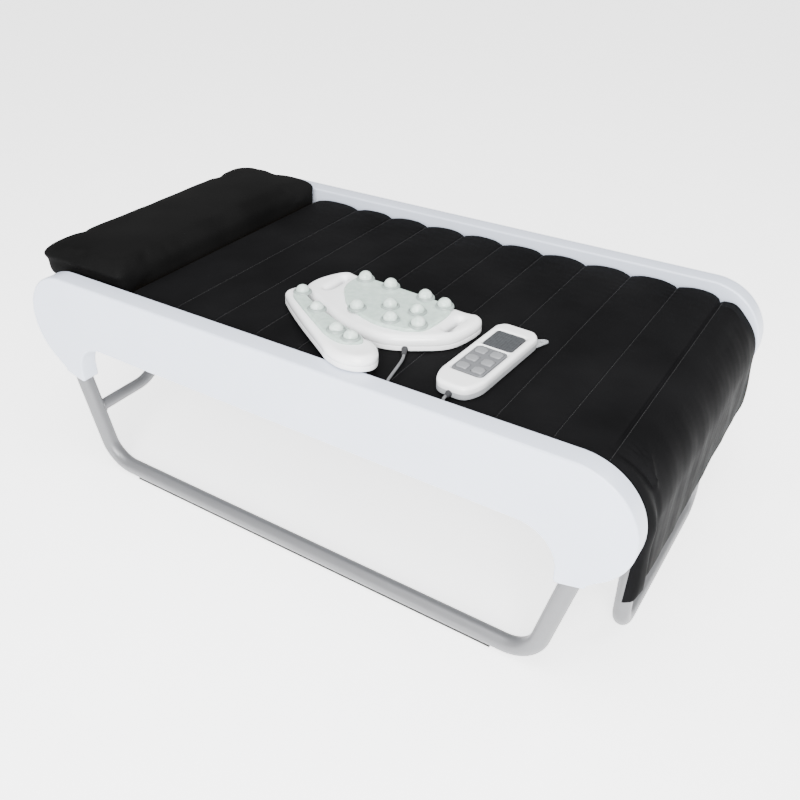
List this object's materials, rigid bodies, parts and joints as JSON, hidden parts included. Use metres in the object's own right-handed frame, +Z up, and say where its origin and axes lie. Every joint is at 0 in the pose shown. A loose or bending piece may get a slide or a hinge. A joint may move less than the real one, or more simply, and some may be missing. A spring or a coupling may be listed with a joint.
{
  "type": "thermal massage bed",
  "caption": "Low massage bed: quilted black mat between two round-ended white side panels on bent sled tubes, with rollers inside and corded hand units on top.",
  "frame": {"origin": "on the floor, under the middle of the bed", "axes": "+X along the bed to the foot end, +Y to the far side panel, +Z up"},
  "size_m": [1.271, 0.7, 0.489],
  "materials": {
    "panel_white": "satin white moulding, faintly cool",
    "tube_silver": "silver-grey powder coat",
    "strip_rubber": "matt",
    "deck_steel": "dark stoved enamel",
    "plywood": "sealed birch face",
    "base_plastic": "fine grain",
    "mat_leather": "black leatherette over foam, sewn channels",
    "pillow_leather": "black leatherette over foam",
    "bright_steel": "ground and oiled",
    "belt_rubber": "moulded",
    "jade": "polished pale jade",
    "lamp_glass": "ruby coated infrared lamp",
    "heater_film": "laminated carbon film",
    "circuit_board": "solder mask",
    "unit_white": "gloss white moulding",
    "unit_grey": "fine grain",
    "display": "grey display behind a clear window",
    "relief_rubber": "matt",
    "lead_grey": "satin grey jacket"
  },
  "bodies": {
    "bed": {"side_panel_near": "panel_white", "side_panel_far": "panel_white", "sled_tube_near": "tube_silver", "sled_tube_far": "tube_silver", "head_brace_tube": "tube_silver", "foot_strip_near": "strip_rubber", "foot_strip_far": "strip_rubber", "deck_rail_near": "deck_steel", "deck_rail_far": "deck_steel", "cross_member_head": "deck_steel", "cross_member_middle": "deck_steel", "cross_member_foot": "deck_steel", "deck_board": "plywood", "bottom_pan": "base_plastic", "mat": "mat_leather", "guide_rod_near": "bright_steel", "guide_rod_far": "bright_steel", "drive_belt": "belt_rubber", "gear_motor": "deck_steel", "leg_heater": "heater_film", "control_box": "base_plastic", "circuit_board": "circuit_board", "power_inlet": "base_plastic", "multi_projector_lead": "lead_grey", "handset_lead": "lead_grey"},
    "carriage": {"carriage_plate": "bright_steel", "lift_actuator": "deck_steel"},
    "roller_lift": {"lift_platform": "bright_steel", "heat_lamp": "lamp_glass"},
    "front_rollers": {"roller_axle_front": "bright_steel", "jade_roller_front_near": "jade", "jade_roller_front_far": "jade"},
    "rear_rollers": {"roller_axle_rear": "bright_steel", "jade_roller_rear_near": "jade", "jade_roller_rear_far": "jade"},
    "drive_pulley": {"drive_pulley": "bright_steel"},
    "idler_pulley": {"idler_pulley": "bright_steel"},
    "extension": {"extension_frame": "tube_silver", "extension_board": "plywood"},
    "flap_curve": {"flap_curve": "mat_leather"},
    "flap": {"leg_flap": "mat_leather"},
    "pillow": {"pillow": "pillow_leather"},
    "multi_projector": {"multi_projector_shell": "unit_white", "multi_projector_base": "unit_white", "multi_projector_balls": "jade", "multi_projector_relief": "relief_rubber"},
    "hand_projector": {"hand_projector_shell": "unit_white", "hand_projector_base": "unit_white", "hand_projector_balls": "jade"},
    "handset": {"handset_base": "unit_grey", "handset_cover": "unit_white", "display_window": "display", "handset_relief": "relief_rubber"},
    "rocker": {"rocker_switch": "base_plastic"},
    "key_1": {"handset_key_1": "unit_grey"},
    "key_2": {"handset_key_2": "unit_grey"},
    "key_3": {"handset_key_3": "unit_grey"},
    "key_4": {"handset_key_4": "unit_grey"},
    "key_5": {"handset_key_5": "unit_grey"},
    "key_6": {"handset_key_6": "unit_grey"}
  },
  "joints": [
    {"name": "carriage_slide", "type": "slide", "parent": "bed", "child": "carriage", "axis": [1, 0, 0], "range_m": [0, 0.5]},
    {"name": "lift_slide", "type": "slide", "parent": "carriage", "child": "roller_lift", "axis": [0, 0, 1], "range_m": [0, 0.02]},
    {"name": "front_roller_spin", "type": "hinge", "parent": "roller_lift", "child": "front_rollers", "pos_m": [-0.328, 0, 0.383], "axis": [0, 1, 0], "continuous": true},
    {"name": "rear_roller_spin", "type": "hinge", "parent": "roller_lift", "child": "rear_rollers", "pos_m": [-0.232, 0, 0.383], "axis": [0, 1, 0], "continuous": true},
    {"name": "drive_pulley_spin", "type": "hinge", "parent": "bed", "child": "drive_pulley", "pos_m": [0.296, 0.06, 0.329], "axis": [0, 1, 0], "range_deg": [0, 2200]},
    {"name": "idler_pulley_spin", "type": "hinge", "parent": "bed", "child": "idler_pulley", "pos_m": [-0.364, 0.06, 0.329], "axis": [0, 1, 0], "range_deg": [0, 2200]},
    {"name": "extension_slide", "type": "slide", "parent": "bed", "child": "extension", "axis": [1, 0, 0], "range_m": [0, 0.24]},
    {"name": "flap_curve_swing", "type": "hinge", "parent": "bed", "child": "flap_curve", "pos_m": [0.5685, 0, 0.4117], "axis": [0, -1, 0], "range_deg": [0, 44], "deforming": ["flap_curve"]},
    {"name": "flap_swing", "type": "hinge", "parent": "flap_curve", "child": "flap", "pos_m": [0.6252, 0, 0.3426], "axis": [0, -1, 0], "range_deg": [0, 46], "deforming": ["leg_flap"]},
    {"name": "pillow_lift", "type": "slide", "parent": "bed", "child": "pillow", "axis": [0, 0, 1], "range_m": [0, 0.1]},
    {"name": "multi_projector_lift", "type": "slide", "parent": "bed", "child": "multi_projector", "axis": [0, 0, 1], "range_m": [0, 0.12]},
    {"name": "hand_projector_lift", "type": "slide", "parent": "bed", "child": "hand_projector", "axis": [0, 0, 1], "range_m": [0, 0.12]},
    {"name": "handset_lift", "type": "slide", "parent": "bed", "child": "handset", "axis": [0, 0, 1], "range_m": [0, 0.12]},
    {"name": "rocker_swing", "type": "hinge", "parent": "bed", "child": "rocker", "pos_m": [-0.588, 0.03, 0.359], "axis": [0, 1, 0], "range_deg": [-20, 0]},
    {"name": "key_1_press", "type": "slide", "parent": "handset", "child": "key_1", "axis": [0, 0, -1], "range_m": [0, 0.0012], "stiffness_N_per_m": 400, "springref_m": -0.001},
    {"name": "key_2_press", "type": "slide", "parent": "handset", "child": "key_2", "axis": [0, 0, -1], "range_m": [0, 0.0012], "stiffness_N_per_m": 400, "springref_m": -0.001},
    {"name": "key_3_press", "type": "slide", "parent": "handset", "child": "key_3", "axis": [0, 0, -1], "range_m": [0, 0.0012], "stiffness_N_per_m": 400, "springref_m": -0.001},
    {"name": "key_4_press", "type": "slide", "parent": "handset", "child": "key_4", "axis": [0, 0, -1], "range_m": [0, 0.0012], "stiffness_N_per_m": 400, "springref_m": -0.001},
    {"name": "key_5_press", "type": "slide", "parent": "handset", "child": "key_5", "axis": [0, 0, -1], "range_m": [0, 0.0012], "stiffness_N_per_m": 400, "springref_m": -0.001},
    {"name": "key_6_press", "type": "slide", "parent": "handset", "child": "key_6", "axis": [0, 0, -1], "range_m": [0, 0.0012], "stiffness_N_per_m": 400, "springref_m": -0.001}
  ],
  "couplings": [
    {"joint": "drive_pulley_spin", "follows": "carriage_slide", "rad_per_m": 76.046},
    {"joint": "idler_pulley_spin", "follows": "carriage_slide", "rad_per_m": 76.046},
    {"joint": "flap_curve_swing", "follows": "extension_slide", "rad_per_m": 3.199},
    {"joint": "flap_swing", "follows": "extension_slide", "rad_per_m": 3.3445}
  ]
}
